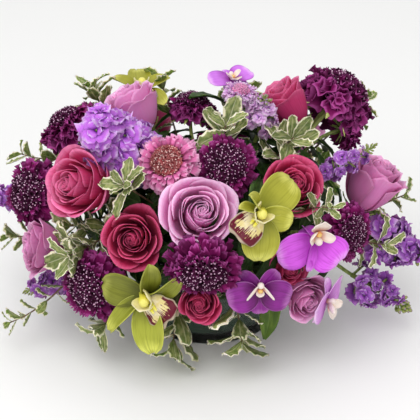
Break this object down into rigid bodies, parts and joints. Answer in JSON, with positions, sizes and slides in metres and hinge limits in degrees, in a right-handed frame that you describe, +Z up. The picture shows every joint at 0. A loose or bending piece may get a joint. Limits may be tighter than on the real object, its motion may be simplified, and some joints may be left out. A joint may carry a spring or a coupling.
{
  "type": "vase flower arrangement",
  "caption": "Low round arrangement of roses, scabiosa, orchids, stock and variegated leaves in floral foam, in a straight glass vase lined with a dark leaf.",
  "frame": {"origin": "middle of the vase's base, on the surface it stands on", "axes": "+Z up, -Y the front of the arrangement, +X its right side seen from the front"},
  "size_m": [0.4316, 0.2953, 0.2415],
  "materials": {
    "vase_glass": "clear polished glass with a thick base",
    "dark_leaf": "dark green leaf blade, satin, with parallel ribs",
    "foam": "soaked green floral foam, matt and finely porous",
    "rose_magenta_petals": "magenta rose petals, soft satin, darker in the folds",
    "rose_lavender_petals": "lavender pink rose petals, soft satin with faint veins",
    "scabiosa_plum_florets": "dark plum ruffled florets round a near black dome with pale stamens",
    "scabiosa_pink_florets": "pink ruffled florets round a brick red dome",
    "cymbidium_petals": "yellow green waxy orchid petals, cream lip edged in burgundy",
    "phalaenopsis_petals": "magenta violet orchid petals with a paler rim and a white lip",
    "stock_florets": "violet double florets, ruffled, with green buds at the tip",
    "variegated_leaf": "grey green leaves with cream wavy edges on brown twigs"
  },
  "bodies": {
    "root": {"glass_vase": "vase_glass", "lining_leaf": "dark_leaf", "rose_magenta_1": "rose_magenta_petals", "rose_magenta_2": "rose_magenta_petals", "rose_magenta_3": "rose_magenta_petals", "rose_magenta_4": "rose_magenta_petals", "rose_magenta_5": "rose_magenta_petals", "rose_magenta_6": "rose_magenta_petals", "rose_magenta_7": "rose_magenta_petals", "rose_lavender_1": "rose_lavender_petals", "rose_lavender_2": "rose_lavender_petals", "rose_lavender_3": "rose_lavender_petals", "rose_lavender_4": "rose_lavender_petals", "rose_lavender_5": "rose_lavender_petals", "rose_lavender_6": "rose_lavender_petals", "scabiosa_plum_1": "scabiosa_plum_florets", "scabiosa_plum_2": "scabiosa_plum_florets", "scabiosa_plum_3": "scabiosa_plum_florets", "scabiosa_plum_4": "scabiosa_plum_florets", "scabiosa_plum_5": "scabiosa_plum_florets", "scabiosa_plum_6": "scabiosa_plum_florets", "scabiosa_plum_7": "scabiosa_plum_florets", "scabiosa_plum_8": "scabiosa_plum_florets", "scabiosa_plum_9": "scabiosa_plum_florets", "scabiosa_plum_10": "scabiosa_plum_florets", "scabiosa_pink_1": "scabiosa_pink_florets", "scabiosa_pink_2": "scabiosa_pink_florets", "cymbidium_1": "cymbidium_petals", "cymbidium_2": "cymbidium_petals", "cymbidium_3": "cymbidium_petals", "phalaenopsis_1": "phalaenopsis_petals", "phalaenopsis_2": "phalaenopsis_petals", "phalaenopsis_3": "phalaenopsis_petals", "phalaenopsis_4": "phalaenopsis_petals", "stock_violet_1": "stock_florets", "stock_violet_2": "stock_florets", "stock_violet_3": "stock_florets", "stock_violet_4": "stock_florets", "stock_violet_5": "stock_florets", "stock_violet_6": "stock_florets", "stock_violet_7": "stock_florets", "stock_violet_8": "stock_florets", "pittosporum_1": "variegated_leaf", "pittosporum_2": "variegated_leaf", "pittosporum_3": "variegated_leaf", "pittosporum_4": "variegated_leaf", "pittosporum_5": "variegated_leaf", "pittosporum_6": "variegated_leaf", "pittosporum_7": "variegated_leaf", "pittosporum_8": "variegated_leaf", "pittosporum_9": "variegated_leaf", "pittosporum_10": "variegated_leaf", "pittosporum_11": "variegated_leaf", "pittosporum_12": "variegated_leaf", "pittosporum_13": "variegated_leaf", "pittosporum_14": "variegated_leaf", "pittosporum_15": "variegated_leaf", "pittosporum_16": "variegated_leaf", "blade_leaf_front": "dark_leaf", "floral_foam": "foam"}
  },
  "joints": []
}
